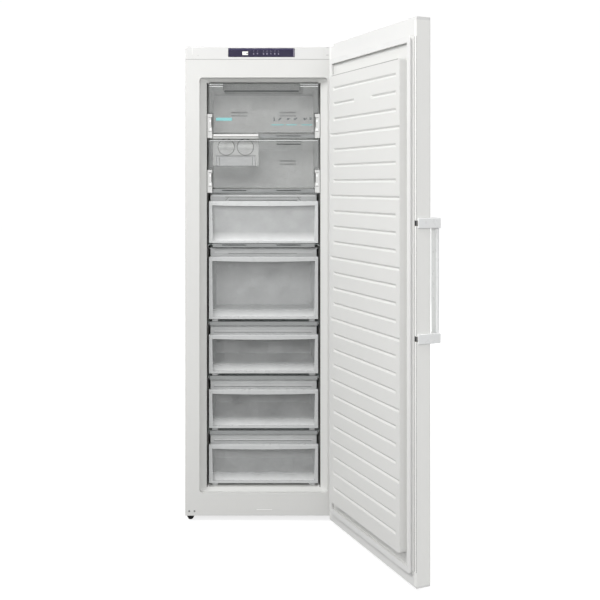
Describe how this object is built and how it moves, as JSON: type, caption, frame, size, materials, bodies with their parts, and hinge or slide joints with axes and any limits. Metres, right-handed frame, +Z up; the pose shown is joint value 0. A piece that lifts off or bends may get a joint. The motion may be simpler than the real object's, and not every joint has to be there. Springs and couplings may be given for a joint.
{
  "type": "upright freezer",
  "caption": "Tall single-door freezer on levelling feet, its door open, with drawers, tilting flaps, a twist ice maker, a ribbed door liner and a bar handle.",
  "frame": {"origin": "centre of the cabinet in width and depth, on the flat underside of its base plate, 22 mm above the floor that the feet stand on", "axes": "+Z up, -Y out of the front face, +X towards the hinge side; the door stands open at 112.5 degrees at rest"},
  "size_m": [0.8529, 1.1826, 1.8],
  "materials": {
    "white_steel": "smooth white enamel",
    "galvanised": "dull zinc-coated sheet",
    "white_abs": "smooth white plastic",
    "liner": "vacuum-formed white plastic",
    "foam": "rigid foamed filling",
    "black_steel": "black painted pressing",
    "rubber": "dull moulded rubber",
    "grey_plastic": "matte grey plastic",
    "black_plastic": "matte black plastic",
    "copper_pipe": "drawn copper tube",
    "aluminium": "bare fins and tube",
    "clear_glass": "clear toughened glass",
    "trim": "translucent grey plastic",
    "display": "glossy dark blue window",
    "gasket": "soft pale seal",
    "handle": "satin pale grey plastic",
    "tub": "translucent grey plastic",
    "drawer_front": "white plastic",
    "flap": "translucent smoky plastic",
    "ice": "pale grey plastic",
    "hinge": "zinc-plated and painted steel",
    "screw": "plated steel"
  },
  "bodies": {
    "cabinet": {"cabinet_wrap": "white_steel", "front_frame": "white_steel", "back_panel": "galvanised", "inner_liner": "liner", "insulation_foam": "foam", "base_plate": "galvanised", "bay_shroud": "galvanised", "compressor": "black_steel", "compressor_grommets": "rubber", "drip_tray": "grey_plastic", "refrigerant_pipes": "copper_pipe", "bay_rear_cover": "grey_plastic", "cord_gland": "black_plastic", "evaporator": "aluminium", "evaporator_cover": "liner", "fan_motor": "black_plastic", "glass_shelf_1": "clear_glass", "glass_shelf_2": "clear_glass", "lower_glass_shelves": "clear_glass", "shelf_trim_1": "trim", "shelf_trim_2": "trim", "shelf_trim_3": "trim", "lower_shelf_trims": "trim", "flap_brackets": "white_abs", "control_panel": "white_abs", "display_window": "display", "left_end_cap": "white_abs", "hinge_cap": "white_abs", "upper_hinge": "hinge", "lower_hinge": "hinge", "hinge_screws": "screw", "hole_plugs": "grey_plastic", "ice_maker_frame": "ice", "ice_bin": "tub", "rear_feet": "black_plastic"},
    "door": {"door_panel": "white_steel", "door_top_cap": "white_abs", "door_bottom_cap": "white_abs", "door_foam": "foam", "door_liner": "liner", "door_gasket": "gasket", "handle_brackets": "handle", "handle_bar": "handle"},
    "drawer_1": {"drawer_tub_1": "tub", "drawer_front_1": "drawer_front"},
    "drawer_2": {"drawer_tub_2": "tub", "drawer_front_2": "drawer_front"},
    "drawer_3": {"drawer_tub_3": "tub", "drawer_front_3": "drawer_front"},
    "drawer_4": {"drawer_tub_4": "tub", "drawer_front_4": "drawer_front"},
    "drawer_5": {"drawer_tub_5": "tub", "drawer_front_5": "drawer_front"},
    "flap_upper": {"flap_upper": "flap"},
    "flap_lower": {"flap_lower": "flap"},
    "ice_tray_left": {"ice_tray_left": "ice"},
    "ice_tray_right": {"ice_tray_right": "ice"},
    "fan_rotor": {"fan_rotor": "black_plastic"},
    "front_foot_left": {"front_foot_left": "black_plastic"},
    "front_foot_right": {"front_foot_right": "black_plastic"}
  },
  "joints": [
    {"name": "door_hinge", "type": "hinge", "parent": "cabinet", "child": "door", "pos_m": [0.28, -0.333, 0], "axis": [0, 0, 1], "range_deg": [-112.5, 10]},
    {"name": "drawer_1_slide", "type": "slide", "parent": "cabinet", "child": "drawer_1", "axis": [0, -1, 0], "range_m": [0, 0.36]},
    {"name": "drawer_2_slide", "type": "slide", "parent": "cabinet", "child": "drawer_2", "axis": [0, -1, 0], "range_m": [0, 0.36]},
    {"name": "drawer_3_slide", "type": "slide", "parent": "cabinet", "child": "drawer_3", "axis": [0, -1, 0], "range_m": [0, 0.36]},
    {"name": "drawer_4_slide", "type": "slide", "parent": "cabinet", "child": "drawer_4", "axis": [0, -1, 0], "range_m": [0, 0.36]},
    {"name": "drawer_5_slide", "type": "slide", "parent": "cabinet", "child": "drawer_5", "axis": [0, -1, 0], "range_m": [0, 0.27]},
    {"name": "flap_upper_hinge", "type": "hinge", "parent": "cabinet", "child": "flap_upper", "pos_m": [0, -0.253, 1.4575], "axis": [1, 0, 0], "range_deg": [0, 90]},
    {"name": "flap_lower_hinge", "type": "hinge", "parent": "cabinet", "child": "flap_lower", "pos_m": [0, -0.253, 1.2481], "axis": [1, 0, 0], "range_deg": [0, 90]},
    {"name": "ice_tray_left_twist", "type": "hinge", "parent": "cabinet", "child": "ice_tray_left", "pos_m": [-0.1436, -0.2465, 1.3998], "axis": [0, 1, 0], "range_deg": [0, 100], "stiffness_Nm_per_rad": 0.25},
    {"name": "ice_tray_right_twist", "type": "hinge", "parent": "cabinet", "child": "ice_tray_right", "pos_m": [-0.0701, -0.2465, 1.3998], "axis": [0, 1, 0], "range_deg": [0, 100], "stiffness_Nm_per_rad": 0.25},
    {"name": "fan_spin", "type": "hinge", "parent": "cabinet", "child": "fan_rotor", "pos_m": [0, 0.17, 0.8788], "axis": [0, 1, 0], "continuous": true},
    {"name": "front_foot_left_screw", "type": "hinge", "parent": "cabinet", "child": "front_foot_left", "pos_m": [-0.279, -0.263, -0.01], "axis": [0, 0, 1], "continuous": true},
    {"name": "front_foot_right_screw", "type": "hinge", "parent": "cabinet", "child": "front_foot_right", "pos_m": [0.279, -0.263, -0.01], "axis": [0, 0, 1], "continuous": true}
  ]
}
